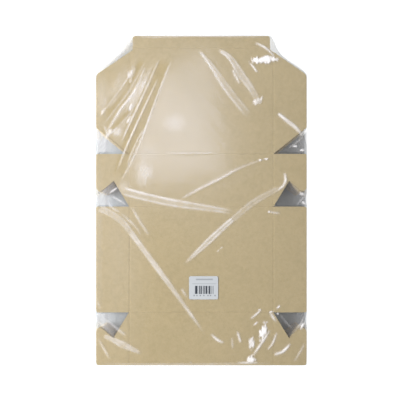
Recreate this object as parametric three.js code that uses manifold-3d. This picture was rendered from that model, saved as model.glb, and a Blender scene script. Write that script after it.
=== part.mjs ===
// Shrink-wrapped pack of flat kraft box blanks.
// Millimetres, +Z up. The pack lies flat, its origin in the middle of its underside.
// +Y runs along the blanks from the front wall to the lid, +X across them.
import * as THREE from 'three';
import { mergeVertices } from 'three/addons/utils/BufferGeometryUtils.js';
import Module from 'manifold-3d';

const wasm = await Module();
wasm.setup();

// Panels of one blank, as they lie flat
const baseWidth = 248;
const baseDepth = 182;
const wallHeight = 91;
const lidDepth = 182;
const tuckDepth = 21;
const sideFlapWidth = 57;

// Shape of the tuck and of the lid's side flaps
const tuckInset = 6;
const shoulderOffset = 2.5;
const shoulderFall = 43;
const lidFlapCut = 45.5;
const creaseRelief = 1.5;

// Ears at the ends of the front and rear walls
const earApexReach = 27;
const earApexSetback = 44.5;
const earTipSetback = 19.5;

// Corner radii of the die-cut outline
const tuckRadius = 4;
const shoulderRadius = 8;
const flapRadius = 2.5;
const earTipRadius = 6.5;
const hemRadius = 4;
const arcTolerance = 0.35;

// Board and its creases
const boardThickness = 1.5;
const creaseWidth = 2;
const creaseDepth = 0.4;

// Stack of blanks
const blankCount = 25;
const sheetAir = 0.08;
const jogRange = 0.5;

// Shrink film
const filmThickness = 0.2;
const filmClearance = 0.3;
const filmEdgeRound = 0.5;
const bridgeSag = 4;
const wallSag = 3;
const pocketDepth = 3;
const pocketRim = 2;
const pocketFlare = 1.1;
const pocketStep = 0.5;
const seamWidth = 2.4;
const seamRise = 0.6;
const foldEmbed = 0.1;
const foldStep = 20;
const ventRadius = 2;
const ventSpacing = 120;
const ventHeightShare = 0.75;

// Label on the film
const labelWidth = 50;
const labelHeight = 40;
const labelThickness = 0.12;
const labelRadius = 2.5;
const labelAside = 4;
const labelAboveCrease = 42;
const labelAir = 0.05;

// Levels along the blank, from the front hem to the tuck's edge
const blankLength = 2 * wallHeight + baseDepth + lidDepth + tuckDepth;
const hemY = -blankLength / 2;
const frontCreaseY = hemY + wallHeight;
const rearCreaseY = frontCreaseY + baseDepth;
const lidCreaseY = rearCreaseY + wallHeight;
const tuckCreaseY = lidCreaseY + lidDepth;
const tuckEdgeY = tuckCreaseY + tuckDepth;

// Levels across the blank
const creaseX = baseWidth / 2;
const outerX = creaseX + sideFlapWidth;
const tuckX = creaseX - tuckInset;
const apexX = creaseX + earApexReach;

const shoulderY = tuckCreaseY - shoulderOffset - shoulderFall;
const lidFlapEndY = lidCreaseY + lidFlapCut;
const rearApexY = rearCreaseY + earApexSetback;
const rearTipY = rearCreaseY + earTipSetback;
const frontApexY = frontCreaseY - earApexSetback;
const frontTipY = frontCreaseY - earTipSetback;

// Inner corner of the lid's side flap, clear of the ear below it
const lidCorner = [creaseX + creaseRelief, lidCreaseY + creaseRelief];

// Heights in the pack
const stackBottom = filmThickness + filmClearance;
const sheetPitch = boardThickness + sheetAir;
const stackTop = stackBottom + blankCount * sheetPitch - sheetAir;
const filmTop = stackTop + filmClearance + filmThickness;

// Corners of the blank's right half, from the tuck to the front hem, each with its radius
const blankCorners = [
  [tuckX, tuckEdgeY, tuckRadius],
  [tuckX, tuckCreaseY - shoulderOffset, 0],
  [outerX, shoulderY, shoulderRadius],
  [outerX, lidFlapEndY, flapRadius],
  [...lidCorner, 0],
  [creaseX + creaseRelief, lidCreaseY, 0],
  [outerX, lidCreaseY, flapRadius],
  [outerX, rearTipY, earTipRadius],
  [apexX, rearApexY, 0],
  [creaseX, rearCreaseY, 0],
  [outerX, rearCreaseY, flapRadius],
  [outerX, frontCreaseY, flapRadius],
  [creaseX, frontCreaseY, 0],
  [apexX, frontApexY, 0],
  [outerX, frontTipY, earTipRadius],
  [outerX, hemY, hemRadius],
];

// The three notches on each side that the film spans, on the right half, out to near the film's edge
const pocketX = outerX - bridgeSag - filmEdgeRound - pocketRim;
const notches = [
  [lidCorner, alongEdge(lidCorner, [outerX, lidFlapEndY], pocketX), [pocketX, lidCreaseY]],
  [
    [creaseX, rearCreaseY],
    [apexX, rearApexY],
    alongEdge([apexX, rearApexY], [outerX, rearTipY], pocketX),
    [pocketX, rearCreaseY],
  ],
  [
    [creaseX, frontCreaseY],
    [pocketX, frontCreaseY],
    alongEdge([apexX, frontApexY], [outerX, frontTipY], pocketX),
    [apexX, frontApexY],
  ],
];

// Folds that the shrinking drew across the top, in shares of the pack's half width and half length
const folds = [
  { path: [[-0.54, 0.85], [-0.89, 0.5]], width: 4, rise: 1.2 },
  { path: [[-0.39, 0.84], [-0.82, 0.14]], width: 5, rise: 1.5 },
  { path: [[-0.28, 0.85], [-0.77, 0.1]], width: 5, rise: 1.5 },
  { path: [[-0.33, 0.84], [-0.71, 0.25]], width: 2.5, rise: 0.9 },
  { path: [[-0.07, 0.94], [0.48, 0.52]], width: 3.5, rise: 1.2 },
  { path: [[0, 0.95], [0.53, 0.53]], width: 2.5, rise: 1 },
  { path: [[0.13, 0.92], [0.6, 0.61]], width: 3, rise: 1 },
  { path: [[0.5, 0.96], [0.62, 0.92], [0.7, 0.85]], width: 2.5, rise: 0.9 },
  { path: [[0.29, 0.78], [0.37, 0.7]], width: 3, rise: 0.8 },
  { path: [[0.72, 0.53], [0.85, 0.47], [0.93, 0.39]], width: 4, rise: 1.4 },
  { path: [[0.6, 0.25], [-0.19, 0]], width: 2.5, rise: 1 },
  { path: [[-0.78, 0.08], [0.32, -0.08]], width: 4.5, rise: 1.5 },
  { path: [[-0.8, 0.04], [0.25, -0.12]], width: 3, rise: 1.2 },
  { path: [[0.8, 0.17], [0.67, 0.05], [0.3, -0.09], [-0.15, -0.39]], width: 4, rise: 1.4 },
  { path: [[-0.92, 0], [-0.76, -0.11], [-0.4, -0.42], [0.03, -0.82]], width: 5, rise: 1.6 },
  { path: [[-0.67, -0.05], [-0.49, -0.22]], width: 3, rise: 0.9 },
  { path: [[0.62, -0.06], [0.75, -0.08]], width: 2.5, rise: 0.8 },
  { path: [[-0.19, -0.54], [-0.13, -0.6]], width: 3, rise: 0.8 },
  { path: [[-0.92, -0.69], [-0.7, -0.82]], width: 5, rise: 1.4 },
  { path: [[-0.94, -0.81], [-0.53, -0.95]], width: 6, rise: 1.4 },
  { path: [[-0.95, -0.84], [-0.85, -0.96]], width: 3, rise: 1 },
  { path: [[0.1, -0.8], [0.22, -0.87]], width: 3.5, rise: 1 },
  { path: [[0.34, -0.78], [0.38, -0.87]], width: 3, rise: 1 },
  { path: [[0.63, -0.75], [0.56, -0.86], [0.45, -0.96]], width: 4, rise: 1.4 },
  { path: [[0.81, -0.87], [0.58, -0.94]], width: 3.5, rise: 1.2 },
  { path: [[0.74, -0.79], [0.66, -0.89]], width: 3, rise: 1.2 },
];

// The point of a straight edge that lies at x
function alongEdge([fromX, fromY], [toX, toY], x) {
  return [x, fromY + (toY - fromY) * (x - fromX) / (toX - fromX)];
}

// A closed outline from corners of the right half and their mirror images
function mirrored(rightHalf) {
  const leftHalf = rightHalf.map(([x, y, ...rest]) => [-x, y, ...rest]).reverse();
  return [...rightHalf, ...leftHalf];
}

// Points of a closed outline whose corners are rounded by arcs
function roundedOutline(corners) {
  const points = [];
  corners.forEach(([x, y, radius], i) => {
    const corner = new THREE.Vector2(x, y);
    if (radius === 0) {
      points.push(corner);
      return;
    }
    const [beforeX, beforeY] = corners[(i + corners.length - 1) % corners.length];
    const [afterX, afterY] = corners[(i + 1) % corners.length];
    const back = new THREE.Vector2(beforeX, beforeY).sub(corner);
    const ahead = new THREE.Vector2(afterX, afterY).sub(corner);
    const room = Math.min(back.length(), ahead.length()) / 2;
    back.normalize();
    ahead.normalize();
    const opening = Math.acos(THREE.MathUtils.clamp(back.dot(ahead), -1, 1));
    const reach = Math.min(radius / Math.tan(opening / 2), room);
    const arcRadius = reach * Math.tan(opening / 2);
    const middle = back.clone().add(ahead).normalize();
    const centre = corner.clone().addScaledVector(middle, Math.hypot(reach, arcRadius));
    const start = corner.clone().addScaledVector(back, reach).sub(centre);
    const turn = Math.PI - opening;
    const side = Math.sign(back.cross(ahead)) || 1;
    const arcStep = 2 * Math.acos(1 - Math.min(arcTolerance, arcRadius) / arcRadius);
    const steps = Math.max(1, Math.ceil(turn / arcStep));
    for (let step = 0; step <= steps; step += 1) {
      const angle = -side * turn * step / steps;
      points.push(start.clone().rotateAround(new THREE.Vector2(), angle).add(centre));
    }
  });
  return points;
}

// A flat piece cut to an outline
function sheetOf(outline, thickness) {
  return new THREE.ExtrudeGeometry(new THREE.Shape(outline), { depth: thickness, bevelEnabled: false });
}

// A closed geometry as a solid that can be joined and cut
function solid(geometry) {
  const bare = geometry.index ? geometry.clone() : geometry;
  bare.deleteAttribute('normal');
  bare.deleteAttribute('uv');
  const merged = mergeVertices(bare);
  return new wasm.Manifold(new wasm.Mesh({
    numProp: 3,
    vertProperties: new Float32Array(merged.attributes.position.array),
    triVerts: new Uint32Array(merged.index.array),
  }));
}

// A solid back as a geometry
function geometryOf(manifold) {
  const mesh = manifold.getMesh();
  const geometry = new THREE.BufferGeometry();
  geometry.setAttribute('position', new THREE.BufferAttribute(mesh.vertProperties, mesh.numProp));
  geometry.setIndex(new THREE.BufferAttribute(mesh.triVerts, 1));
  return geometry;
}

// A geometry from points and triangles, with its faces pointing out
function closedGeometry(points, triangles) {
  const geometry = new THREE.BufferGeometry();
  geometry.setAttribute('position', new THREE.Float32BufferAttribute(points.flat(), 3));
  geometry.setIndex(triangles.flat());
  return geometry;
}

// A wedge that presses one crease into the board's upper face, centred on the origin along X
function creaseWedge(length) {
  const overshoot = 1;
  const slope = creaseWidth / 2 / creaseDepth;
  const section = new THREE.Shape([
    new THREE.Vector2(0, -creaseDepth),
    new THREE.Vector2(overshoot * slope, overshoot - creaseDepth),
    new THREE.Vector2(-overshoot * slope, overshoot - creaseDepth),
  ]);
  const wedge = new THREE.ExtrudeGeometry(section, { depth: length, bevelEnabled: false });
  wedge.translate(0, 0, -length / 2);
  wedge.rotateX(Math.PI / 2);
  wedge.rotateZ(Math.PI / 2);
  return wedge;
}

// One die-cut, creased blank
function makeBlank() {
  let blank = solid(sheetOf(roundedOutline(mirrored(blankCorners)), boardThickness));
  const acrossLevels = [
    [frontCreaseY, baseWidth],
    [rearCreaseY, baseWidth],
    [lidCreaseY, baseWidth + 2 * creaseRelief],
    [tuckCreaseY, 2 * tuckX],
  ];
  for (const [y, length] of acrossLevels) {
    const wedge = creaseWedge(length + 2 * creaseWidth);
    blank = blank.subtract(solid(wedge.translate(0, y, boardThickness)));
  }
  for (const x of [-creaseX, creaseX]) {
    const wedge = creaseWedge(blankLength + 2 * creaseWidth).rotateZ(Math.PI / 2);
    blank = blank.subtract(solid(wedge.translate(x, 0, boardThickness)));
  }
  return geometryOf(blank);
}

// Right half of the film's outline: straight along the edges it lies on, drawn in where it spans
// from one corner to the next. Each point carries how free the film is there, from 0 to 1.
function filmHalfOutline() {
  const reach = filmClearance + jogRange;
  const steps = 5;
  const runs = [
    { at: [outerX, shoulderY], span: true },
    { at: [outerX, lidFlapEndY], span: false },
    { at: [outerX, lidCreaseY], span: true },
    { at: [outerX, rearTipY + earTipRadius], span: false },
    { at: [outerX, rearCreaseY], span: true },
    { at: [outerX, frontCreaseY], span: false },
    { at: [outerX, frontTipY - earTipRadius], span: true },
  ];
  const grown = ([x, y]) => new THREE.Vector2(x + reach, y);
  let from = new THREE.Vector2(tuckX + reach, tuckEdgeY + reach);
  const points = [[from.x, from.y, 0]];
  for (const { at, span } of runs) {
    const to = grown(at);
    const inward = new THREE.Vector2(to.y - from.y, from.x - to.x).normalize();
    for (let step = 1; step <= steps; step += 1) {
      if (!span && step < steps) continue;
      const share = span ? step / steps : 1;
      const slack = span ? Math.sin(Math.PI * share) ** 2 : 0;
      const point = from.clone().lerp(to, share).addScaledVector(inward, bridgeSag * slack);
      points.push([point.x, point.y, slack]);
    }
    from = to;
  }
  points.push([outerX + reach, hemY - reach, 0]);
  return points;
}

// One closed skin of the film, grown beyond the stack and standing between two heights
function filmSkin(grow, low, high) {
  const outline = mirrored(filmHalfOutline());
  const seamHeight = (low + high) / 2;
  const levels = [
    { z: low, inset: filmEdgeRound, sag: 0, seam: 0 },
    { z: low + filmEdgeRound, inset: 0, sag: 0, seam: 0 },
    { z: seamHeight - seamWidth / 2, inset: 0, sag: wallSag, seam: 0 },
    { z: seamHeight, inset: 0, sag: wallSag, seam: seamRise },
    { z: seamHeight + seamWidth / 2, inset: 0, sag: wallSag, seam: 0 },
    { z: high - filmEdgeRound, inset: 0, sag: 0, seam: 0 },
    { z: high, inset: filmEdgeRound, sag: 0, seam: 0 },
  ];
  const count = outline.length;
  const points = [];
  for (const { z, inset, sag, seam } of levels) {
    outline.forEach(([x, y, slack], i) => {
      const [beforeX, beforeY] = outline[(i + count - 1) % count];
      const [afterX, afterY] = outline[(i + 1) % count];
      const back = new THREE.Vector2(x - beforeX, y - beforeY).normalize();
      const ahead = new THREE.Vector2(afterX - x, afterY - y).normalize();
      const along = back.clone().add(ahead).normalize();
      const outward = new THREE.Vector2(-along.y, along.x);
      const mitre = 1 / Math.max(0.5, along.dot(ahead));
      const sealed = y < shoulderY ? seam : 0;
      const move = (grow - inset + sealed) * mitre - sag * slack;
      points.push([x + outward.x * move, y + outward.y * move, z]);
    });
  }
  const triangles = [];
  for (let level = 0; level + 1 < levels.length; level += 1) {
    for (let i = 0; i < count; i += 1) {
      const next = (i + 1) % count;
      const a = level * count + i;
      const b = level * count + next;
      triangles.push([b, a, a + count], [b, a + count, b + count]);
    }
  }
  for (const [level, flip] of [[0, true], [levels.length - 1, false]]) {
    const first = level * count;
    const rim = points.slice(first, first + count).map(([x, y]) => new THREE.Vector2(x, y));
    for (const [a, b, c] of THREE.ShapeUtils.triangulateShape(rim, [])) {
      triangles.push(flip ? [first + c, first + b, first + a] : [first + a, first + b, first + c]);
    }
  }
  return solid(closedGeometry(points, triangles));
}

// The dish that sinks the film's top into a notch: the notch's own outline, drawn in to clear the
// board, falling in two steps to its middle. For the inner skin it is one film thickness larger.
function pocketDish(notch, side, grow) {
  const rim = notch.map(([x, y]) => new THREE.Vector2(side * x, y));
  if (side > 0) rim.reverse();
  const middle = rim.reduce((sum, corner) => sum.add(corner), new THREE.Vector2()).divideScalar(rim.length);
  const distances = rim.map((from, i) => {
    const edge = rim[(i + 1) % rim.length].clone().sub(from);
    return Math.abs(edge.cross(middle.clone().sub(from))) / edge.length();
  });
  const room = Math.min(...distances);
  const clearing = filmClearance + jogRange + filmThickness - grow;
  const points = [];
  for (const share of [pocketFlare, pocketStep]) {
    const z = filmTop - grow - pocketDepth * (1 - share ** 2);
    const width = share * (1 - clearing / room) / pocketFlare;
    rim.forEach((corner) => points.push([...middle.clone().lerp(corner, width).toArray(), z]));
  }
  const count = rim.length;
  const bottom = points.push([middle.x, middle.y, filmTop - grow - pocketDepth]) - 1;
  const top = points.push([middle.x, middle.y, filmTop + pocketDepth]) - 1;
  const triangles = [];
  for (let i = 0; i < count; i += 1) {
    const next = (i + 1) % count;
    triangles.push([top, i, next], [next, i, count + i], [next, count + i, count + next]);
    triangles.push([count + next, count + i, bottom]);
  }
  return solid(closedGeometry(points, triangles));
}

// One fold of the film: a slim ridge that tapers to a point at both ends
function foldRidge({ path, width, rise }) {
  const stops = path.map(([u, v]) => new THREE.Vector3(u * outerX, v * blankLength / 2, filmTop - foldEmbed));
  const curve = new THREE.CatmullRomCurve3(stops);
  const steps = Math.max(4, Math.ceil(curve.getLength() / foldStep));
  const points = [curve.getPointAt(0).toArray()];
  for (let step = 1; step < steps; step += 1) {
    const share = step / steps;
    const swell = Math.sqrt(Math.sin(Math.PI * share));
    const spot = curve.getPointAt(share);
    const along = curve.getTangentAt(share);
    const aside = new THREE.Vector3(-along.y, along.x, 0).multiplyScalar(swell * width / 2);
    points.push(spot.clone().add(aside).toArray());
    points.push(spot.clone().sub(aside).toArray());
    points.push([spot.x, spot.y, spot.z + foldEmbed + swell * rise]);
  }
  points.push(curve.getPointAt(1).toArray());
  const last = points.length - 1;
  const triangles = [[0, 1, 2], [0, 3, 1], [0, 2, 3]];
  for (let step = 1; step + 1 < steps; step += 1) {
    const a = 3 * step - 2;
    for (const [near, far] of [[a, a + 1], [a + 1, a + 2], [a + 2, a]]) {
      triangles.push([near, near + 3, far], [far, near + 3, far + 3]);
    }
  }
  triangles.push([last, last - 2, last - 3], [last, last - 3, last - 1], [last, last - 1, last - 2]);
  return solid(closedGeometry(points, triangles));
}

// The film: two skins one thickness apart, sunk pockets, folds and vent holes
function makeFilm() {
  let outer = filmSkin(filmThickness, 0, filmTop);
  let inner = filmSkin(0, filmThickness, filmTop - filmThickness);
  for (const notch of notches) {
    for (const side of [-1, 1]) {
      outer = outer.subtract(pocketDish(notch, side, 0));
      inner = inner.subtract(pocketDish(notch, side, filmThickness));
    }
  }
  for (const fold of folds) {
    outer = outer.add(foldRidge(fold));
  }
  let film = outer.subtract(inner);
  for (const x of [-ventSpacing / 2, ventSpacing / 2]) {
    const vent = new THREE.CylinderGeometry(ventRadius, ventRadius, 2 * wallHeight, 10);
    film = film.subtract(solid(vent.translate(x, hemY, ventHeightShare * filmTop)));
  }
  return geometryOf(film);
}

// The self-adhesive label
function makeLabel() {
  const x = labelWidth / 2;
  const y = labelHeight / 2;
  const corners = [[x, y], [x, -y], [-x, -y], [-x, y]].map((corner) => [...corner, labelRadius]);
  return sheetOf(roundedOutline(corners), labelThickness);
}

// Materials
const kraftBoard = new THREE.MeshStandardMaterial({ color: 0xb9a17c, roughness: 0.9, metalness: 0 });
const clearFilm = new THREE.MeshStandardMaterial({
  color: 0xf2f4f5,
  roughness: 0.12,
  metalness: 0,
  transparent: true,
  opacity: 0.25,
});
const labelPaper = new THREE.MeshStandardMaterial({ color: 0xeceff1, roughness: 0.6, metalness: 0 });

function named(name, geometry, material) {
  const mesh = new THREE.Mesh(geometry, material);
  mesh.name = name;
  return mesh;
}

// The pack
const pack = new THREE.Group();

const blankGeometry = makeBlank();
for (let i = 0; i < blankCount; i += 1) {
  const blank = named(`blank_${String(i + 1).padStart(2, '0')}`, blankGeometry, kraftBoard);
  const jogX = jogRange * Math.sin(2.4 * i);
  const jogY = jogRange * Math.cos(1.7 * i);
  blank.position.set(jogX, jogY, stackBottom + i * sheetPitch);
  pack.add(blank);
}

pack.add(named('shrink_film', makeFilm(), clearFilm));

const label = named('stock_label', makeLabel(), labelPaper);
label.position.set(labelAside, frontCreaseY + labelAboveCrease, filmTop + labelAir);
pack.add(label);

export default pack;
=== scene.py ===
# Looks of the shrink-wrapped pack of flat kraft box blanks.
# Metres, +Z up, in the CAD model's frame. Sizes named below are millimetres.
import math

import bpy
import numpy as np
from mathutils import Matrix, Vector


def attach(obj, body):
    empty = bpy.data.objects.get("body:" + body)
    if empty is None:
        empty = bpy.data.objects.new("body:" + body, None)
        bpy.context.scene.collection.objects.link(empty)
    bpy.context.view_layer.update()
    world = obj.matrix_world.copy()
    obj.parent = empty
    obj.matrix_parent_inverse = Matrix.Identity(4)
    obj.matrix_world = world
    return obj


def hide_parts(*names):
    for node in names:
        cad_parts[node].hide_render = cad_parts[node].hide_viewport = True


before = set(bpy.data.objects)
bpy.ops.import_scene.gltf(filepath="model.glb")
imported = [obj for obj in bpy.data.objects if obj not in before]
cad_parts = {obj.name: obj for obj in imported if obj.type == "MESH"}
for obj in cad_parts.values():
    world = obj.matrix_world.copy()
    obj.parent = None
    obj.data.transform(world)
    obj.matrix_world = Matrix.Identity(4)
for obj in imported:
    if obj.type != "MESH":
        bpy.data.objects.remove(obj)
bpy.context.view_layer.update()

MM = 0.001

# Sizes that the CAD model also has
HALF_WIDTH = 181.0
CREASE_X = 124.0
TUCK_X = 118.0
APEX_X = 151.0
TUCK_EDGE_Y = 283.5
SHOULDER_Y = 217.0
LID_FLAP_END_Y = 126.0
LID_CREASE_Y = 80.5
REAR_APEX_Y = 34.0
REAR_TIP_Y = 9.0
REAR_CREASE_Y = -10.5
FRONT_CREASE_Y = -192.5
FRONT_TIP_Y = -212.0
FRONT_APEX_Y = -237.0
HEM_Y = -283.5
CREASE_RELIEF = 1.5
EAR_TIP_RADIUS = 6.5
STACK_BOTTOM = 0.5
SHEET_PITCH = 1.58
BOARD_THICKNESS = 1.5
FILM_REACH = 1.0
FILM_TOP = 40.4
LABEL_CENTRE = (4.0, -150.5)
LABEL_SIZE = (50.0, 40.0)

# Mesh of the film: its grid, the round of its edges and the rings down its walls
GRID_STEP = 1.64
EDGE_ROUND = 1.3
ROUND_TURNS = (40, 90)
WALL_HEIGHTS = (34, 28, 23, 21, 20.2, 19.4, 17, 11, 5)
CORNER_ROUND = 3.0
SETTLE_REACH = 5.0

# Walls of the film: seam, sag over the notches, and puckers that are larger where the film is free
SEAM_RISE = 0.8
SEAM_SPREAD = 1.0
SEAM_WHITENESS = 0.25
SEAM_END = 6.0
WALL_SAG = 1.2
PUCKER = 0.35
PUCKER_LENGTH = 7.0
PUCKER_HEIGHT = 30.0
PUCKER_LIMIT = 0.15
SLACK_FROM = 0.05

# Top of the film: rest height and lowest point over the board, waves and streaks
REST_HEIGHT = 0.25
LOWEST = -0.3
WAVE_RISE = 0.5
WAVE_LENGTH = 70.0
STREAK_RISE = 0.13
FINE_STREAK_RISE = 0.05
BEND = 4.0
BEND_LENGTH = 60.0
FAR_WEIGHT = 1e-4

# Straps, pleats, creases and crumples: how high they stand and how soft their edges are
WIDTH_STOPS = (0, 0.5, 1)
STRAP_RISE = 0.35
STRAP_SOFTNESS = 0.9
PLEAT_RISE = 0.18
PLEAT_SOFTNESS = 1.7
RIM_INSET = 0.6
RIM_SPREAD = 1.9
RIM_FADE = 0.6
LINE_RISE = 0.7
LINE_FOOT = 0.8
LINE_SPREAD = 0.7
CRUMPLE_RISE = 0.5
CRUMPLE_OUTSIDE = 1.35
RAGGED = 0.55
CRUSHED_MIDDLE = (100.0, -240.0)
CRUSHED_REACH = (50.0, 34.0)
CRUSHED_RISE = 0.45

# Pockets over the notches, with haze that is partly milky film and partly painted light
POCKET_SLOPE = 9.0
POCKET_UNEVEN = 0.3
POCKET_HAZE_AND_PAINTED_LIGHT = {-1: 0.30, 1: 0.10}
POCKET_DEPTHS = {-1: (1.2, 1.2, 1.2), 1: (1.8, 1.4, 1.6)}
POCKET_OUTER = (143.0, 170.0)

# Seeds of the smooth noise
NOISE_SIZE = 128
WAVE_SEED = 71
STREAK_SEED = 1
FINE_STREAK_SEED = 11
BEND_SEED = 50
UNEVEN_SEED = 81
RAGGED_SEED = 91
CRUSHED_SEED = 31
POCKET_SEED = 41
PUCKER_SEED = 61

# Board: flutes of the cut edges and where painted shade darkens their hollows between the liners
FLUTE_PITCH = 3.3
FLUTE_RISE = 0.4
CORE_EDGE = (0.48, 0.58)
FLUTE_PAPER = (0.1, 0.22)

# Floor: how far below the pack it lies, its half size, how much whiter the camera sees it away from
# the pack, and where that starts on each side
FLOOR_DROP = 0.3
FLOOR_SIZE = 30000.0
FLOOR_LIFT = 0.9
SHADOW_SIDE = (190.0, 197.0)
SHADOW_TOP = (303.0, 308.0)
SHADOW_SLANT = (300.0, 306.0)
SLANT_DIRECTION = (-0.726, 0.688)
SHADOW_SOFTNESS = 10.0

# Camera, with the width that it sees at the top of the pack
CAMERA_PLACE = (0.0, -95.0)
CAMERA_RISE = 500.0
FRAME_WIDTH = 688.0
FRAME_MIDDLE = (-2.1, 0.5)
SENSOR_WIDTH = 36.0


def ease(t):
    return t * t * (3 - 2 * t)


def step_between(low, high, value):
    return ease(np.clip((value - low) / (high - low), 0, 1))


# Smooth random values from -1 to 1, one for each unit square's corner
def smooth_noise(x, y, seed):
    values = np.random.default_rng(seed).uniform(-1, 1, (NOISE_SIZE, NOISE_SIZE))
    column = np.floor(x).astype(int)
    row = np.floor(y).astype(int)
    across = ease(x - column)
    up = ease(y - row)
    left, right = column % NOISE_SIZE, (column + 1) % NOISE_SIZE
    low, high = row % NOISE_SIZE, (row + 1) % NOISE_SIZE
    below = values[low, left] * (1 - across) + values[low, right] * across
    above = values[high, left] * (1 - across) + values[high, right] * across
    return below * (1 - up) + above * up


# Where the film spans from corner to corner along its sides: from, to, how far it is drawn in on
# the left and on the right, and how far the deepest point leans towards the far end
SPANS = [
    (SHOULDER_Y, TUCK_EDGE_Y, {-1: 3.0, 1: 12.0}, 1.0),
    (LID_CREASE_Y, LID_FLAP_END_Y, {-1: 1.5, 1: 5.5}, 2.2),
    (REAR_CREASE_Y, REAR_TIP_Y + EAR_TIP_RADIUS, {-1: 1.2, 1: 2.0}, 1.0),
    (FRONT_TIP_Y - EAR_TIP_RADIUS, FRONT_CREASE_Y, {-1: 1.2, 1: 2.5}, 1.0),
]


# How free the film is at each y of a span, from 0 at its ends to 1 in between
def span_bow(y, low, high, lean):
    share = np.clip((y - low) / (high - low), 0, 1) ** lean
    return np.sin(math.pi * share) ** 2


# How free the film is along its sides
def slack_along(y):
    return np.max([span_bow(y, low, high, lean) for low, high, sags, lean in SPANS], axis=0)


# How far the film is drawn in along one side
def drawn_along(y, side):
    return sum(span_bow(y, low, high, lean) * sags[side] for low, high, sags, lean in SPANS)


# Half of the film's width at each y
def film_edge(y, side):
    edge = np.full_like(y, HALF_WIDTH)
    tuck = y > SHOULDER_Y
    share = (y[tuck] - SHOULDER_Y) / (TUCK_EDGE_Y - SHOULDER_Y)
    edge[tuck] = HALF_WIDTH + (TUCK_X - HALF_WIDTH) * np.clip(share, 0, 1)
    spread = int(CORNER_ROUND / (y[1] - y[0]) * 2)
    weights = np.exp(-np.linspace(-2, 2, 2 * spread + 1) ** 2 / 2)
    padded = np.pad(edge, spread, mode="reflect", reflect_type="odd")
    edge = np.convolve(padded, weights / weights.sum(), "valid")
    return edge - drawn_along(y, side)


# Thin creases of the film's top: path in millimetres, width, whiteness of a painted highlight along
# each
LINES = [
    ([(-113, 234), (-139, 192), (-178, 141)], 1.4, 0.30),
    ([(-97, 230), (-116, 187), (-140, 155), (-165, 114)], 1.8, 0.55),
    ([(-72, 243), (-104, 172), (-139, 99)], 1.6, 0.50),
    ([(-75, 209), (-93, 170), (-112, 129), (-130, 88), (-145, 48)], 1.2, 0.60),
    ([(-52, 240), (-79, 171), (-105, 100), (-126, 55), (-142, 27)], 1.3, 0.34),
    ([(-100, 122), (-113, 96), (-128, 60)], 1.0, 0.45),
    ([(54, 226), (67, 200)], 1.4, 0.50),
    ([(84, 237), (97, 220)], 1.3, 0.60),
    ([(93, 271), (112, 261), (126, 247)], 1.5, 0.70),
    ([(-33, 2), (0, 20), (32, 36), (67, 55), (101, 69)], 2.0, 0.36),
    ([(-62, 81), (-20, 80), (30, 81)], 1.0, 0.24),
    ([(-120, -12), (-105, -38), (-90, -60)], 2.2, 0.40),
    ([(-140, -21), (-112, -47), (-104, -61)], 1.4, 0.35),
    ([(143, 47), (145, 35), (141, 25), (131, 17)], 1.8, 0.95),
    ([(116, -20), (136, -23)], 1.4, 0.40),
    ([(-34, -152), (-21, -171)], 1.8, 0.60),
    ([(-178, -236), (-157, -273)], 2.2, 0.35),
    ([(-178, -197), (-164, -206), (-129, -233)], 3.0, 0.40),
    ([(-181, -167), (-172, -189)], 2.0, 0.25),
    ([(17, -230), (28, -240), (39, -245)], 1.8, 0.80),
    ([(62, -225), (68, -245)], 1.6, 0.70),
    ([(53, -236), (54, -255)], 1.4, 0.40),
    ([(85, -204), (97, -194), (103, -188)], 1.5, 0.70),
    ([(118, -223), (106, -242), (88, -268)], 2.0, 0.85),
    ([(130, -227), (123, -245), (114, -257)], 1.4, 0.70),
    ([(153, -247), (140, -260), (125, -265)], 2.2, 0.90),
    ([(160, -277), (168, -264), (178, -246)], 1.6, 0.38),
    ([(170, -223), (175, -215), (180, -207)], 1.6, 0.75),
    ([(62, -279), (80, -279), (98, -279)], 1.4, 0.70),
    ([(118, -192), (122, -199), (129, -209)], 1.8, 0.80),
    ([(136, -196), (148, -212), (160, -222)], 1.0, 0.30),
    ([(176, -198), (173, -210), (164, -221)], 1.2, 0.55),
    ([(179, 8), (172, 0), (166, -6)], 1.2, 0.45),
    ([(150, 90), (165, 100), (178, 112)], 1.2, 0.40),
    ([(-167, 128), (-162, 112), (-169, 93)], 1.6, 0.60),
    ([(-159, 12), (-144, 22)], 1.6, 0.70),
    ([(-165, -1), (-153, -13), (-140, -21)], 1.4, 0.50),
    ([(-176, -281), (-60, -282), (60, -281), (120, -280)], 1.0, 0.32),
    ([(-112, 281), (0, 282), (112, 281)], 0.8, 0.40),
    ([(-157, 9), (-128, -8)], 1.2, 0.50),
]

# Broad pleats: path, widths at the start, middle and end, whiteness inside (milky haze and painted
# sheen) and of the two edges (painted highlights)
PLEATS = [
    ([(-6, 260), (17, 233), (44, 193), (74, 155), (86, 142)], (2.0, 10.0, 11.0), 0.12, 0.32),
    ([(29, 260), (50, 245), (68, 217), (87, 190), (99, 167)], (3.0, 12.0, 7.0), 0.26, 0.26),
    ([(131, 150), (148, 136), (164, 123), (176, 108)], (2.0, 5.0, 2.0), 0.42, 0.50),
    ([(-141, 18), (-109, 9), (-57, -3), (0, -12), (60, -21)], (12.5, 11.0, 6.0), 0.17, 0.46),
    ([(136, 22), (94, -1), (65, -24), (36, -49)], (6.0, 9.0, 7.0), 0.13, 0.17),
    ([(58, -30), (41, -44), (10, -73), (-9, -91), (-31, -111)], (6.0, 8.5, 2.5), 0.26, 0.46),
    ([(-179, -12), (-157, -22), (-136, -37), (-117, -61), (-98, -87)], (12.0, 10.0, 8.0), 0.27, 0.08),
    ([(-130, -44), (-117, -61), (-62, -135), (-28, -182), (8, -233)], (8.5, 8.0, 2.5), 0.37, 0.08),
    ([(-169, -232), (-137, -247), (-101, -264)], (5.0, 12.0, 4.0), 0.30, 0.08),
]

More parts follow.
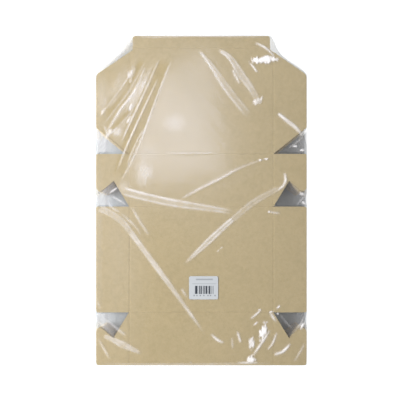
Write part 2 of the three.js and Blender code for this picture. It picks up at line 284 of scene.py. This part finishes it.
# Straps where the film lies flat on the board and shows no haze: path, widths at start, middle, end
CLEARED = [
    ([(-99, 243), (-131, 190), (-175, 132)], (8.0, 11.5, 11.5)),
    ([(-61, 245), (-91, 172), (-121, 100), (-147, 34)], (17.0, 25.0, 18.0)),
    ([(-121, 155), (-140, 135), (-160, 114)], (5.0, 5.0, 5.0)),
]

# Crumpled spots with painted glints, and patches of faint painted sheen where the whiteness is low:
# middle, half sizes, turn in degrees, whiteness
CRUMPLES_AND_PAINTED_GLINTS = [
    ((105, 241), (19.0, 5.5), 4, 0.95),
    ((98, 171), (8.0, 4.5), 35, 0.66),
    ((-121, 216), (5.5, 14.0), -20, 0.50),
    ((-122, 160), (3.0, 8.0), -28, 0.52),
    ((-125, 138), (2.4, 6.5), -28, 0.52),
    ((-100, 200), (5.5, 28.0), -25, 0.26),
    ((-141, 254), (30.0, 8.0), 41, 0.34),
    ((-170, 152), (2.6, 8.0), -20, 0.50),
    ((-158, 117), (4.0, 8.0), -35, 0.60),
    ((-116, 183), (8.0, 34.0), -25, 0.20),
    ((-140, 196), (14.0, 38.0), -30, 0.15),
    ((-150, 172), (5.0, 22.0), -38, 0.22),
    ((-145, 117), (9.0, 9.0), 30, 0.36),
    ((-46, 133), (21.0, 18.0), 0, 0.17),
    ((-99, 47), (16.0, 25.0), -6, 0.28),
    ((-94, 80), (22.0, 24.0), 0, 0.10),
    ((-172, 172), (16.0, 50.0), 0, 0.17),
    ((-134, 22), (12.0, 16.0), 0, 0.22),
    ((-176, -60), (13.0, 230.0), 0, 0.11),
    ((-146, -70), (62.0, 260.0), 0, 0.07),
    ((102, 69), (2.6, 1.3), 0, 0.90),
    ((112, 71), (2.6, 1.1), 0, 0.80),
    ((116, -20), (2.0, 1.2), 0, 0.90),
    ((162, 93), (3.5, 1.4), 0, 0.90),
    ((174, 86), (3.5, 1.4), 0, 0.90),
    ((107, -226), (6.0, 13.0), -10, 0.95),
    ((86, -246), (5.0, 10.0), -8, 0.80),
    ((86, -273), (7.0, 5.0), 30, 0.90),
    ((93, -213), (4.0, 1.8), 40, 0.80),
    ((133, -184), (1.8, 3.0), -30, 0.80),
    ((174, -215), (1.8, 4.0), -35, 0.80),
    ((121, -192), (2.6, 1.6), 0, 0.85),
    ((131, -195), (3.4, 1.5), -30, 0.70),
    ((101, -188), (2.4, 1.3), 0, 0.65),
    ((173, 11), (5.0, 2.2), -20, 0.60),
    ((175, -3), (4.0, 1.6), -45, 0.70),
    ((34, -82), (4.0, 1.6), 40, 0.40),
    ((29, -87), (3.2, 1.3), 50, 0.40),
    ((-18, -279), (2.6, 1.0), 0, 0.60),
    ((-169, -216), (5.0, 4.0), 30, 0.45),
]

# Directions in which the film is drawn, by region: middle, direction, reach
DRAWS = [
    ((-122.0, 138.0), (-0.40, -0.915), 110.0),
    ((75.0, 215.0), (0.64, -0.77), 100.0),
    ((0.0, -17.0), (0.974, -0.226), 60.0),
    ((-105.0, -130.0), (0.59, -0.81), 90.0),
    ((125.0, 60.0), (0.90, 0.43), 70.0),
    ((105.0, -235.0), (0.45, 0.89), 70.0),
    ((20.0, -110.0), (0.80, -0.60), 90.0),
]


# Distance to a path and share of its length at the nearest point
def path_place(x, y, path):
    stops = np.array(path, float)
    lengths = np.hypot(*(stops[1:] - stops[:-1]).T)
    nearest = np.full_like(x, 1e9)
    share = np.zeros_like(x)
    run = 0.0
    for start, end, length in zip(stops[:-1], stops[1:], lengths):
        along = (end - start) / length
        s = np.clip((x - start[0]) * along[0] + (y - start[1]) * along[1], 0, length)
        distance = np.hypot(x - start[0] - along[0] * s, y - start[1] - along[1] * s)
        closer = distance < nearest
        nearest = np.where(closer, distance, nearest)
        share = np.where(closer, (run + s) / lengths.sum(), share)
        run += length
    return nearest, share


# Smooth curve through the points of a path
def curved(path, steps=6):
    stops = np.array([path[0], *path, path[-1]], float)
    points = []
    for a, b, c, d in zip(stops, stops[1:], stops[2:], stops[3:]):
        for t in np.arange(steps) / steps:
            points.append(
                0.5 * (2 * b + (c - a) * t + (2 * a - 5 * b + 4 * c - d) * t**2
                       + (3 * b - a - 3 * c + d) * t**3)
            )
    points.append(stops[-1])
    return points


# For each region in which the film is drawn: its weight, and places along and across its way
def draw_regions(x, y):
    for (cx, cy), (ux, uy), reach in DRAWS:
        near = np.exp(-((x - cx) ** 2 + (y - cy) ** 2) / reach**2) + FAR_WEIGHT
        yield near, x * ux + y * uy, y * ux - x * uy


# Long streaks along the way the film is drawn, changing direction from region to region
def streaks(x, y, long_step, cross_step, seed):
    total = np.zeros_like(x)
    weight = np.zeros_like(x)
    for number, (near, along, across) in enumerate(draw_regions(x, y)):
        bend = BEND * smooth_noise(along / BEND_LENGTH, across / BEND_LENGTH, seed + BEND_SEED + number)
        value = smooth_noise(along / long_step, (across + bend) / cross_step, seed + number)
        total += near * value
        weight += near
    return total / weight


# Places along and across the way the film is drawn, for its finest lines
def drawn_place(x, y):
    place = np.zeros(x.shape + (2,))
    weight = np.zeros_like(x)
    for near, along, across in draw_regions(x, y):
        place[..., 0] += near * along
        place[..., 1] += near * across
        weight += near
    return place / weight[..., None]


# The notches, as corners of the right half
NOTCHES = [
    [
        (CREASE_X + CREASE_RELIEF, LID_CREASE_Y + CREASE_RELIEF),
        (HALF_WIDTH, LID_FLAP_END_Y),
        (HALF_WIDTH, LID_CREASE_Y),
    ],
    [
        (CREASE_X, REAR_CREASE_Y),
        (APEX_X, REAR_APEX_Y),
        (HALF_WIDTH, REAR_TIP_Y),
        (HALF_WIDTH, REAR_CREASE_Y),
    ],
    [
        (CREASE_X, FRONT_CREASE_Y),
        (HALF_WIDTH, FRONT_CREASE_Y),
        (HALF_WIDTH, FRONT_TIP_Y),
        (APEX_X, FRONT_APEX_Y),
    ],
]


# Distance inside a convex outline, zero outside it
def depth_inside(x, y, corners):
    middle = np.mean(corners, axis=0)
    inside = np.full_like(x, np.inf)
    for (x1, y1), (x2, y2) in zip(corners, corners[1:] + corners[:1]):
        length = math.hypot(x2 - x1, y2 - y1)
        distance = ((x - x1) * (y2 - y1) - (y - y1) * (x2 - x1)) / length
        sign = math.copysign(1, (middle[0] - x1) * (y2 - y1) - (middle[1] - y1) * (x2 - x1))
        inside = np.minimum(inside, distance * sign)
    return np.maximum(inside, 0)


# One along a path, falling to zero over a share of its length at the start and at the end
def swell_along(share, start, end):
    return step_between(0, start, share) * step_between(1, 1 - end, share)


def whiten(white, amount):
    np.maximum(white, amount, out=white)


def lay_straps(x, y, height, clear):
    for path, widths in CLEARED:
        distance, share = path_place(x, y, curved(path))
        half = np.interp(share, WIDTH_STOPS, widths) / 2
        strap = step_between(STRAP_SOFTNESS, -STRAP_SOFTNESS, distance - half)
        np.maximum(clear, strap * swell_along(share, 0.1, 0.1), out=clear)
    height += STRAP_RISE * clear


def lay_pleats(x, y, height, white, uneven):
    for path, widths, inside, edge in PLEATS:
        distance, share = path_place(x, y, curved(path))
        swell = swell_along(share, 0.08, 0.16)
        half = np.interp(share, WIDTH_STOPS, widths) / 2
        within = step_between(PLEAT_SOFTNESS, -PLEAT_SOFTNESS, distance - half)
        # Painted highlight along both edges of each pleat
        rim = np.exp(-(((distance - half + RIM_INSET) / RIM_SPREAD) ** 2))
        rim *= 1 - RIM_FADE * share
        height += PLEAT_RISE * swell * within
        whiten(white, swell * uneven * (inside * within + edge * rim))


def lay_lines(x, y, height, white, uneven):
    for path, width, strength in LINES:
        distance, share = path_place(x, y, curved(path))
        swell = np.sqrt(np.sin(math.pi * share).clip(0, 1))
        height += LINE_RISE * swell * np.exp(-distance / (LINE_FOOT * width))
        spread = LINE_SPREAD * (width + 1)
        # Painted highlight along each crease line
        whiten(white, strength * uneven * swell * np.exp(-((distance / spread) ** 2)))


# Painted glints and sheen on low bumps, ragged where strong and smooth where faint, and one crushed
# corner
def lay_crumples_and_glints(x, y, height, white):
    rags = smooth_noise(x / 2.4, y / 5.5, RAGGED_SEED)
    for (cx, cy), (half_x, half_y), turn, strength in CRUMPLES_AND_PAINTED_GLINTS:
        angle = math.radians(turn)
        u = ((x - cx) * math.cos(angle) + (y - cy) * math.sin(angle)) / half_x
        v = ((y - cy) * math.cos(angle) - (x - cx) * math.sin(angle)) / half_y
        ragged = np.hypot(u, v) + RAGGED * min(1.0, 1.6 * strength) * rags
        spot = step_between(CRUMPLE_OUTSIDE, 0.8 * strength - 0.2, ragged)
        height += CRUMPLE_RISE * spot * strength
        whiten(white, strength * spot)
    u = (x - CRUSHED_MIDDLE[0]) / CRUSHED_REACH[0]
    v = (y - CRUSHED_MIDDLE[1]) / CRUSHED_REACH[1]
    ridges = 1 - 2 * np.abs(smooth_noise(x / 11, y / 8, CRUSHED_SEED))
    height += CRUSHED_RISE * np.exp(-(u**2 + v**2)) * ridges


# Zero over the label, where the film lies flat, and one away from it
def label_clearance(x, y):
    beside = np.abs(x - LABEL_CENTRE[0]) - LABEL_SIZE[0] / 2
    beyond = np.abs(y - LABEL_CENTRE[1]) - LABEL_SIZE[1] / 2
    return step_between(0.5, 12, np.maximum(beside, beyond))


def sink_pockets(x, y, height, white):
    bumps = smooth_noise(x / 13, y / 13, POCKET_SEED)
    for side, depths in POCKET_DEPTHS.items():
        # Painted light: the haze is whiter on the left, which the left lamp lights, and towards the
        # outer side
        haze_and_painted_light = POCKET_HAZE_AND_PAINTED_LIGHT[side] * (0.35 + 0.65 * step_between(*POCKET_OUTER, side * x))
        for corners, depth in zip(NOTCHES, depths):
            inward = depth_inside(side * x, y, corners)
            height -= depth * (1 - np.exp(-inward / POCKET_SLOPE))
            height += POCKET_UNEVEN * step_between(0, 4, inward) * bumps
            whiten(white, haze_and_painted_light * step_between(0, 3, inward))


# Height of the film's top in millimetres, how white it is (milky haze and painted glints) and how clear
def film_relief(x, y):
    height = WAVE_RISE * smooth_noise(x / WAVE_LENGTH, y / WAVE_LENGTH, WAVE_SEED)
    height += STREAK_RISE * streaks(x, y, 90, 13, STREAK_SEED)
    height += FINE_STREAK_RISE * streaks(x, y, 45, 6, FINE_STREAK_SEED)
    white = np.zeros_like(x)
    clear = np.zeros_like(x)
    uneven = 0.85 + 0.25 * smooth_noise(x / 9, y / 9, UNEVEN_SEED)
    lay_straps(x, y, height, clear)
    lay_pleats(x, y, height, white, uneven)
    lay_lines(x, y, height, white, uneven)
    lay_crumples_and_glints(x, y, height, white)
    free = label_clearance(x, y)
    height = np.maximum(REST_HEIGHT + height, LOWEST) * free
    white *= free
    sink_pockets(x, y, height, white)
    return FILM_TOP + height, white, clear


# Points of the film's top, row by row, which settle to the rim's height at their edges
def film_top():
    rows = int((TUCK_EDGE_Y - HEM_Y) / GRID_STEP)
    columns = int(2 * HALF_WIDTH / GRID_STEP)
    reach = FILM_REACH - EDGE_ROUND
    y_line = np.linspace(HEM_Y - reach, TUCK_EDGE_Y + reach, rows + 1)
    left = -(film_edge(y_line, -1) + reach)[:, None]
    right = (film_edge(y_line, 1) + reach)[:, None]
    x = left + (right - left) * np.linspace(0, 1, columns + 1)
    y = np.repeat(y_line[:, None], columns + 1, axis=1)
    z, white, clear = film_relief(x, y)
    from_sides = np.minimum(x - left, right - x)
    from_ends = np.minimum(y - y_line[0], y_line[-1] - y)
    settle = step_between(0, SETTLE_REACH, np.minimum(from_sides, from_ends))
    rim_height = np.minimum(z, FILM_TOP)
    z = rim_height + (z - rim_height) * settle
    return np.stack([x, y, z], axis=-1), white, clear


# Heights of the rings below the rim, and how far each stands out from it
def wall_levels(rim_height):
    turns = [(math.sin(angle), math.cos(angle)) for angle in np.radians(ROUND_TURNS)]
    levels = [(rim_height - EDGE_ROUND * (1 - up), EDGE_ROUND * out) for out, up in turns]
    for height in WALL_HEIGHTS:
        levels.append((np.full_like(rim_height, height), EDGE_ROUND))
    out, up = turns[0]
    levels.append((np.full_like(rim_height, EDGE_ROUND * (1 - up)), EDGE_ROUND * out))
    return levels


# Rings of points down the walls, the last one flat on the floor: points, whiteness and clearness
def wall_rings(rim):
    place = rim[:, :2]
    behind = np.roll(place, 1, axis=0)
    along = np.roll(place, -1, axis=0) - behind
    along /= np.linalg.norm(along, axis=1)[:, None]
    outward = np.column_stack([along[:, 1], -along[:, 0]])
    slack = slack_along(place[:, 1]) * (np.abs(place[:, 0]) > TUCK_X - 5)
    sealed = step_between(SHOULDER_Y + SEAM_END, SHOULDER_Y - SEAM_END, place[:, 1])
    run = np.cumsum(np.linalg.norm(place - behind, axis=1))
    flat = np.zeros(len(rim))
    rings = []
    for level, moved in wall_levels(rim[:, 2]):
        middle = np.sin(math.pi * np.clip(level / FILM_TOP, 0, 1))
        seam = np.exp(-(((level - FILM_TOP / 2) / SEAM_SPREAD) ** 2)) * sealed
        pucker = PUCKER * smooth_noise(run / PUCKER_LENGTH, level / PUCKER_HEIGHT, PUCKER_SEED) * middle
        pucker = np.where(slack > SLACK_FROM, pucker * 2, np.minimum(pucker, PUCKER_LIMIT))
        move = moved + SEAM_RISE * seam + pucker * (0.4 + slack) - WALL_SAG * slack * middle
        shifted = place + outward * move[:, None]
        rings.append((np.column_stack([shifted, level]), SEAM_WHITENESS * seam, flat))
    rings.append((np.column_stack([place, flat]), flat, flat + 1))
    return rings


def grid_faces(index):
    corners = (index[:-1, :-1], index[:-1, 1:], index[1:, 1:], index[1:, :-1])
    return np.stack(corners, axis=-1).reshape(-1, 4).tolist()


def ring_faces(upper, lower):
    return np.column_stack([upper, lower, np.roll(lower, -1), np.roll(upper, -1)]).tolist()


# The whole film as one closed skin: a relief on top, rings down the walls and one flat underside
def make_film():
    grid, white, clear = film_top()
    points = [grid.reshape(-1, 3)]
    whites = [white.ravel()]
    clears = [clear.ravel()]
    index = np.arange(white.size).reshape(white.shape)
    faces = grid_faces(index)
    last = np.concatenate([index[0, :-1], index[:-1, -1], index[-1, :0:-1], index[:0:-1, 0]])
    for ring_points, ring_white, ring_clear in wall_rings(points[0][last]):
        fresh = np.arange(len(last)) + sum(len(group) for group in points)
        faces += ring_faces(last, fresh)
        points.append(ring_points)
        whites.append(ring_white)
        clears.append(ring_clear)
        last = fresh
    faces.append(last[::-1].tolist())
    all_points = np.concatenate(points)
    mesh = bpy.data.meshes.new("film")
    mesh.from_pydata((all_points * MM).tolist(), [], faces)
    for name, values in (("white", whites), ("clear", clears)):
        attribute = mesh.attributes.new(name, "FLOAT", "POINT")
        attribute.data.foreach_set("value", np.concatenate(values).astype(np.float32))
    place = drawn_place(all_points[:, 0], all_points[:, 1])
    drawn = mesh.attributes.new("drawn", "FLOAT_VECTOR", "POINT")
    drawn.data.foreach_set("vector", (np.column_stack([place, all_points[:, 2]]) * MM).ravel())
    for polygon in mesh.polygons:
        polygon.use_smooth = True
    mesh.polygons[-1].use_smooth = False
    made = bpy.data.objects.new("film", mesh)
    bpy.context.collection.objects.link(made)
    return made


# Short forms for building the nodes of a material or of the world
class Nodes:
    def __init__(self, owner, output="ShaderNodeOutputMaterial"):
        owner.use_nodes = True
        self.owner = owner
        self.tree = owner.node_tree
        self.tree.nodes.clear()
        self.output = self.tree.nodes.new(output)

    def node(self, kind, inputs=None, **settings):
        made = self.tree.nodes.new(kind)
        for key, value in settings.items():
            setattr(made, key, value)
        for key, value in (inputs or {}).items():
            self.feed(made.inputs[key], value)
        return made

    def feed(self, socket, value):
        if isinstance(value, bpy.types.NodeSocket):
            self.tree.links.new(value, socket)
        else:
            socket.default_value = value

    def place(self):
        return self.node("ShaderNodeTexCoord").outputs["Object"]

    def split(self, vector):
        return self.node("ShaderNodeSeparateXYZ", {0: vector}).outputs

    def attribute(self, name, output="Fac"):
        return self.node("ShaderNodeAttribute", attribute_name=name).outputs[output]

    def math(self, operation, a, b=0.0, c=0.0):
        return self.node("ShaderNodeMath", {0: a, 1: b, 2: c}, operation=operation).outputs[0]

    def mix(self, factor, a, b):
        made = self.node("ShaderNodeMix", data_type="RGBA")
        self.feed(made.inputs[0], factor)
        self.feed(made.inputs[6], a)
        self.feed(made.inputs[7], b)
        return made.outputs[2]

    def scaled(self, vector, scale):
        return self.node("ShaderNodeMapping", {"Vector": vector, "Scale": scale}).outputs[0]

    def noise(self, vector, scale, detail=2.0, roughness=0.5):
        made = self.node(
            "ShaderNodeTexNoise",
            {"Vector": vector, "Scale": scale, "Detail": detail, "Roughness": roughness},
        )
        return made.outputs["Fac"]

    def remap(self, value, low, high, to_low=0.0, to_high=1.0):
        made = self.node(
            "ShaderNodeMapRange",
            {"Value": value, "From Min": low, "From Max": high, "To Min": to_low, "To Max": to_high},
            clamp=True,
        )
        return made.outputs[0]

    def bump(self, height, strength, distance, **more):
        inputs = {"Height": height, "Strength": strength, "Distance": distance * MM, **more}
        return self.node("ShaderNodeBump", inputs).outputs[0]

    def glossy(self, roughness, normal):
        inputs = {"Color": (1, 1, 1, 1), "Roughness": roughness, "Normal": normal}
        return self.node("ShaderNodeBsdfGlossy", inputs).outputs[0]

    def blend(self, factor, a, b):
        return self.node("ShaderNodeMixShader", {0: factor, 1: a, 2: b}).outputs[0]

    def surface(self, shader):
        self.tree.links.new(shader, self.output.inputs["Surface"])
        return self.owner


# Mottled colour of the board's faces
def face_colour(kit, place, fibre):
    broad = kit.remap(kit.noise(place, 14, 3), 0.35, 0.65)
    blotch = kit.remap(kit.noise(place, 70, 2, 0.6), 0.35, 0.65, 0, 0.5)
    mottle = kit.remap(kit.noise(place, 160, 4, 0.65), 0.35, 0.65, 0, 0.55)
    fleck = kit.remap(kit.noise(place, 1400, 1), 0.72, 0.8, 0, 0.5)
    colour = kit.mix(broad, (0.510, 0.409, 0.224, 1), (0.543, 0.437, 0.245, 1))
    colour = kit.mix(blotch, colour, (0.486, 0.392, 0.212, 1))
    colour = kit.mix(mottle, colour, (0.610, 0.495, 0.285, 1))
    colour = kit.mix(kit.remap(fibre, 0.25, 0.5, 0.3, 0), colour, (0.36, 0.27, 0.13, 1))
    return kit.mix(fleck, colour, (0.22, 0.15, 0.07, 1))


# One in the hollows between the flutes of the cut edges, where no paper is; these are painted dark as
# shade
def flute_hollow_shade(kit, place):
    x, y, z = kit.split(place)
    height = kit.math("SUBTRACT", z, STACK_BOTTOM * MM)
    level = kit.math("MODULO", height, SHEET_PITCH * MM)
    from_middle = kit.math("SUBTRACT", level, BOARD_THICKNESS / 2 * MM)
    core = kit.remap(kit.math("ABSOLUTE", from_middle), CORE_EDGE[0] * MM, CORE_EDGE[1] * MM, 1, 0)
    turn = kit.math("MULTIPLY", kit.math("ADD", x, y), 2 * math.pi / (FLUTE_PITCH * MM))
    flute = kit.math("MULTIPLY", kit.math("SINE", turn), FLUTE_RISE * MM)
    from_flute = kit.math("ABSOLUTE", kit.math("SUBTRACT", from_middle, flute))
    gap = kit.remap(from_flute, FLUTE_PAPER[0] * MM, FLUTE_PAPER[1] * MM)
    normal = kit.node("ShaderNodeNewGeometry").outputs["Normal"]
    cut_edge = kit.remap(kit.math("ABSOLUTE", kit.split(normal)[2]), 0.3, 0.5, 1, 0)
    return kit.math("MULTIPLY", kit.math("MULTIPLY", core, gap), cut_edge)


# Kraft board: mottled fibres on the faces, flutes between two liners on the cut edges, with painted
# shade in the flute hollows
def kraft_material():
    kit = Nodes(bpy.data.materials.new("kraft board"))
    place = kit.place()
    fibre = kit.noise(kit.scaled(place, (1, 0.25, 1)), 900, 3, 0.7)
    # Painted shade: near-black brown in the flute hollows
    painted_hollow_shade = kit.math("MULTIPLY", flute_hollow_shade(kit, place), 0.75)
    colour = kit.mix(painted_hollow_shade, face_colour(kit, place, fibre), (0.10, 0.07, 0.035, 1))
    grain = kit.bump(fibre, 0.12, 0.1)
    turn = kit.math("MULTIPLY", kit.split(place)[0], 2 * math.pi / (FLUTE_PITCH * MM))
    ribs = kit.bump(kit.math("SINE", turn), 0.04, 0.04, Normal=grain)
    board = kit.node(
        "ShaderNodeBsdfPrincipled",
        {"Base Color": colour, "Roughness": 0.88, "Specular IOR Level": 0.25, "Normal": ribs},
    )
    return kit.surface(board.outputs[0])


# Clear film: what lies behind shows, sharp and soft reflections on top, milky folds and painted glints
def film_material():
    kit = Nodes(bpy.data.materials.new("clear film"))
    white = kit.attribute("white")
    flat = kit.attribute("clear")
    stretched = kit.scaled(kit.attribute("drawn", "Vector"), (0.12, 1, 1))
    fine = kit.noise(stretched, 330, 2, 0.6)
    strong_white = kit.math("MAXIMUM", kit.math("SUBTRACT", white, 0.3), 0.0)
    crinkle = kit.bump(fine, kit.math("MULTIPLY_ADD", strong_white, 0.5, 0.03), 0.12)
    shine = kit.blend(0.5, kit.glossy(0.18, crinkle), kit.glossy(0.36, crinkle))
    fresnel = kit.node("ShaderNodeFresnel", {"IOR": 1.5, "Normal": crinkle}).outputs[0]
    amount = kit.math("MULTIPLY_ADD", fresnel, 2.0, kit.math("MULTIPLY", white, 0.10))
    amount = kit.math("MULTIPLY", amount, kit.math("MULTIPLY_ADD", flat, -0.7, 1.0))
    amount = kit.math("MINIMUM", amount, 0.42)
    clear = kit.node("ShaderNodeBsdfTransparent", {"Color": (0.985, 0.99, 0.995, 1)})
    # Painted glints and highlights, partly milky film: a matt near-white mixed in by the white
    # attribute
    milk_and_painted_glint = kit.node("ShaderNodeBsdfDiffuse", {"Color": (0.955, 0.93, 0.935, 1)})
    broken = kit.remap(kit.noise(stretched, 700, 3, 0.6), 0.36, 0.62, 0.72, 1.0)
    milk_and_glint_share = kit.math("MULTIPLY", white, broken)
    skin = kit.blend(amount, clear.outputs[0], shine)
    return kit.surface(kit.blend(milk_and_glint_share, skin, milk_and_painted_glint.outputs[0]))


# One where a value lies between two sizes, with soft edges
def band(kit, value, low, high):
    up = kit.remap(value, (low - PRINT_SOFTNESS) * MM, (low + PRINT_SOFTNESS) * MM)
    down = kit.remap(value, (high - PRINT_SOFTNESS) * MM, (high + PRINT_SOFTNESS) * MM, 1, 0)
    return kit.math("MULTIPLY", up, down)


# Bars of the made-up code on the label: middle and width
BARS = [
    (-14.2, 1.0), (-12.0, 3.2), (-7.6, 0.8), (-6.3, 1.2), (-3.9, 2.0), (-0.9, 0.8), (0.9, 1.4),
    (2.6, 0.7), (5.2, 2.8), (9.2, 1.2), (10.9, 1.9), (13.9, 0.7), (16.4, 0.9),
]
BAR_ROW = (-10.5, 3.4)
PRINT_SOFTNESS = 0.12

# Ticks below the bars: their middles, half width, row and darkness
TICKS = (-16.2, -11.4, -5.6, 0.6, 7.6, 12.0, 19.8)
TICK_HALF = 1.0
TICK_ROW = (-14.3, -12.2)
TICK_INK = 0.6

# Plain rule and thin line above the bars: from and to across, from and to up, darkness
RULES = [
    (-13.0, 16.0, 13.2, 15.6, 0.38),
    (-19.5, 21.5, 6.6, 7.3, 0.45),
]


# Label paper, with generic print: a plain rule, a thin line, bars and small ticks
def label_material():
    kit = Nodes(bpy.data.materials.new("label paper"))
    place = kit.split(kit.place())
    x = kit.math("SUBTRACT", place[0], LABEL_CENTRE[0] * MM)
    y = kit.math("SUBTRACT", place[1], LABEL_CENTRE[1] * MM)
    blocks = [(middle - width / 2, middle + width / 2, *BAR_ROW, 1.0) for middle, width in BARS]
    blocks += [(middle - TICK_HALF, middle + TICK_HALF, *TICK_ROW, TICK_INK) for middle in TICKS]
    ink = 0.0
    for left, right, low, high, darkness in blocks + RULES:
        block = kit.math("MULTIPLY", band(kit, x, left, right), band(kit, y, low, high))
        ink = kit.math("MAXIMUM", ink, kit.math("MULTIPLY", block, darkness))
    colour = kit.mix(ink, (0.455, 0.475, 0.495, 1), (0.025, 0.03, 0.04, 1))
    paper = kit.node("ShaderNodeBsdfPrincipled", {"Base Color": colour, "Roughness": 0.5})
    return kit.surface(paper.outputs[0])


def dress(piece, material):
    piece.data.materials.clear()
    piece.data.materials.append(material)


film = make_film()
dress(film, film_material())
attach(film, "root")
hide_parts("shrink_film")

kraft = kraft_material()
for name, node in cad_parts.items():
    if name.startswith("blank_"):
        dress(node, kraft)
dress(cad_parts["stock_label"], label_material())


# One on the floor round the pack, zero under it, in its notches and close by, where the shadow shows
def outside_pack(kit):
    x, y, _ = kit.split(kit.place())

    def past(value, edges):
        return kit.remap(value, edges[0] * MM, edges[1] * MM)

    beyond_lid = past(y, (LID_FLAP_END_Y, LID_FLAP_END_Y + SHADOW_SOFTNESS))
    on_right = past(x, (-SHADOW_SOFTNESS, SHADOW_SOFTNESS))
    across = kit.math("MULTIPLY", x, SLANT_DIRECTION[0])
    slant = kit.math("MULTIPLY_ADD", y, SLANT_DIRECTION[1], across)
    masks = [
        past(kit.math("ABSOLUTE", x), SHADOW_SIDE),
        kit.math("MULTIPLY", beyond_lid, on_right),
        past(slant, SHADOW_SLANT),
        past(y, SHADOW_TOP),
        kit.remap(y, HEM_Y * MM, (HEM_Y + SHADOW_SOFTNESS / 2) * MM, 1, 0),
    ]
    outside = masks[0]
    for mask in masks[1:]:
        outside = kit.math("MAXIMUM", outside, mask)
    return outside


# Pale floor, just below the film's foot. It keeps the shadow close to the pack and in its notches,
# and the camera sees it plain white further out.
def make_floor():
    mesh = bpy.data.meshes.new("floor")
    ways = [(-1, -1), (1, -1), (1, 1), (-1, 1)]
    corners = [(a * FLOOR_SIZE * MM, b * FLOOR_SIZE * MM, -FLOOR_DROP * MM) for a, b in ways]
    mesh.from_pydata(corners, [], [(0, 1, 2, 3)])
    floor = bpy.data.objects.new("floor", mesh)
    bpy.context.collection.objects.link(floor)
    kit = Nodes(bpy.data.materials.new("floor"))
    white = kit.node("ShaderNodeBsdfDiffuse", {"Color": (0.354, 0.382, 0.405, 1)})
    seen = kit.node("ShaderNodeLightPath").outputs["Is Camera Ray"]
    lift = kit.math("MULTIPLY", kit.math("MULTIPLY", seen, outside_pack(kit)), FLOOR_LIFT)
    glow = kit.node("ShaderNodeEmission", {"Color": (1, 1, 1, 1), "Strength": lift})
    both = kit.node("ShaderNodeAddShader", {0: white.outputs[0], 1: glow.outputs[0]})
    mesh.materials.append(kit.surface(both.outputs[0]))


# Rectangular lamp. A mirrored one shows only as a reflection, and any other lights only matt surfaces.
def area_light(name, place, aim, size, radiance, colour=(1, 1, 1), mirrored=False):
    lamp = bpy.data.lights.new(name, "AREA")
    lamp.shape = "RECTANGLE"
    lamp.size, lamp.size_y = size
    lamp.energy = radiance * math.pi * size[0] * size[1]
    lamp.color = colour
    light = bpy.data.objects.new(name, lamp)
    light.location = place
    light.rotation_mode = "QUATERNION"
    light.rotation_quaternion = (Vector(aim) - Vector(place)).to_track_quat("-Z", "Y")
    light.visible_camera = False
    light.visible_diffuse = not mirrored
    light.visible_glossy = mirrored
    bpy.context.collection.objects.link(light)


# White to the camera and through the film, greyer in reflections, and a dim even light on the rest
def make_world():
    world = bpy.data.worlds.new("world")
    bpy.context.scene.world = world
    kit = Nodes(world, "ShaderNodeOutputWorld")
    path = kit.node("ShaderNodeLightPath").outputs
    reflected = kit.math("MULTIPLY", path["Is Glossy Ray"], 0.6)
    shown = kit.math("MAXIMUM", reflected, path["Is Transmission Ray"])
    shown = kit.math("MAXIMUM", path["Is Camera Ray"], shown)
    strength = kit.remap(shown, 0.0, 1.0, 0.20, 1.0)
    background = kit.node("ShaderNodeBackground", {"Color": (1, 1, 1, 1), "Strength": strength})
    kit.surface(background.outputs[0])


# Camera, looking straight down
def make_camera():
    data = bpy.data.cameras.new("camera")
    camera = bpy.data.objects.new("camera", data)
    bpy.context.collection.objects.link(camera)
    camera.location = (CAMERA_PLACE[0] * MM, CAMERA_PLACE[1] * MM, (FILM_TOP + CAMERA_RISE) * MM)
    camera.rotation_euler = (0, 0, 0)
    data.sensor_width = SENSOR_WIDTH
    data.lens = SENSOR_WIDTH * CAMERA_RISE / FRAME_WIDTH
    data.shift_x = (FRAME_MIDDLE[0] - CAMERA_PLACE[0]) / FRAME_WIDTH
    data.shift_y = (FRAME_MIDDLE[1] - CAMERA_PLACE[1]) / FRAME_WIDTH
    data.clip_start = 0.01
    data.clip_end = 50
    bpy.context.scene.camera = camera


make_floor()
area_light("key", (-0.15, 0.62, 1.24), (-0.05, 0.1, 0), (0.50, 0.58), 4.8, (0.72, 0.78, 1), True)
area_light("veil", (0.20, 0.45, 1.30), (0.1, 0.0, 0), (0.7, 1.2), 0.15, (0.9, 0.95, 1), True)
area_light("left", (-1.80, 0.10, 1.00), (0, 0, 0), (1.9, 0.6), 30.0)
area_light("right", (2.2, 0.0, 0.40), (0, 0, 0), (2.0, 0.5), 8.0)
area_light("front", (0.0, -2.3, 0.35), (0, 0, 0), (2.0, 0.5), 4.0)
area_light("back", (0.0, 2.3, 0.35), (0, 0, 0), (2.0, 0.5), 3.0)
make_world()
make_camera()
bpy.context.scene.view_settings.view_transform = "Standard"
